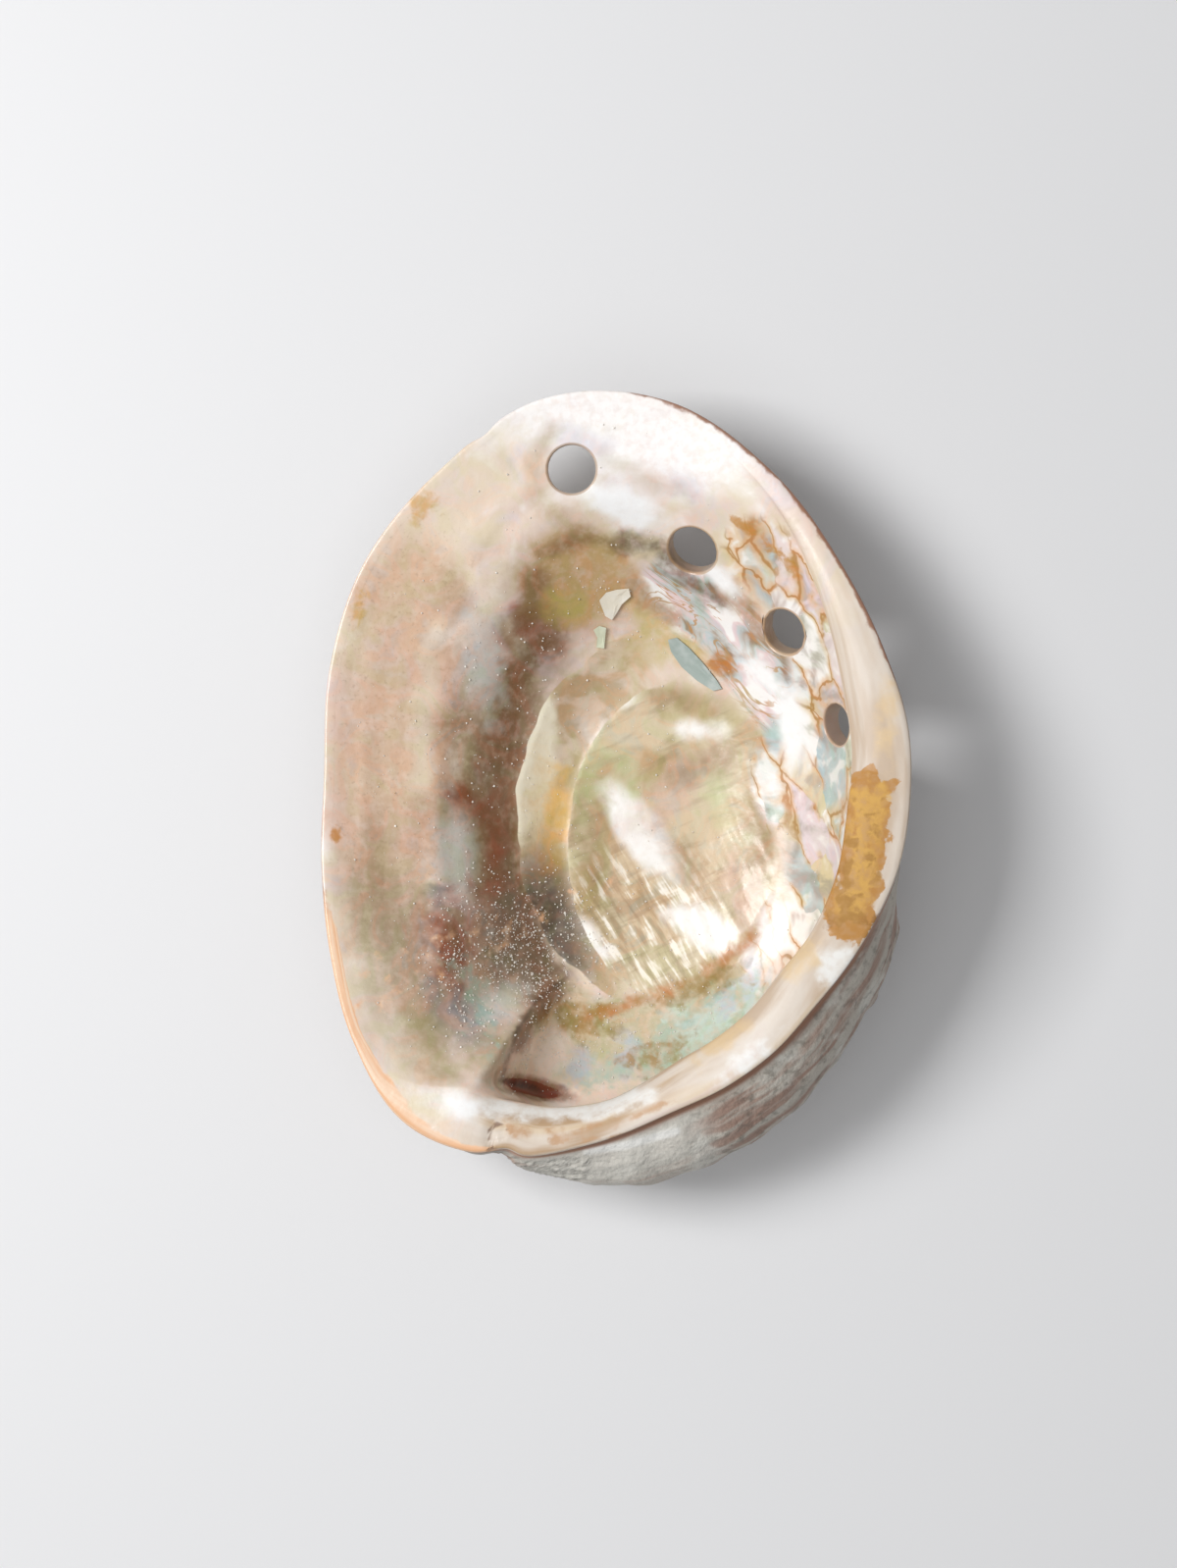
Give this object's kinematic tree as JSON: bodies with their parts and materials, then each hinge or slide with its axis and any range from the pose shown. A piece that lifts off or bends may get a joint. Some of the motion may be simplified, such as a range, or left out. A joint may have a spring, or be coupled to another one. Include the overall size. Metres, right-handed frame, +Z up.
{
  "type": "abalone shell",
  "caption": "Ear-shaped sea shell lying on its back: a pearly hollow with a flared outer lip, a broad shelf along the inner lip, a row of breathing holes and a small low spire.",
  "frame": {"origin": "on the surface that the shell rests on, under the middle of its outline", "axes": "+Y towards the front end with the newest breathing hole, +X towards the inner lip with the shelf, +Z up out of the hollow"},
  "size_m": [0.1035, 0.1408, 0.0382],
  "materials": {
    "nacre": "satin"
  },
  "bodies": {
    "root": {"shell": "nacre"}
  },
  "joints": []
}
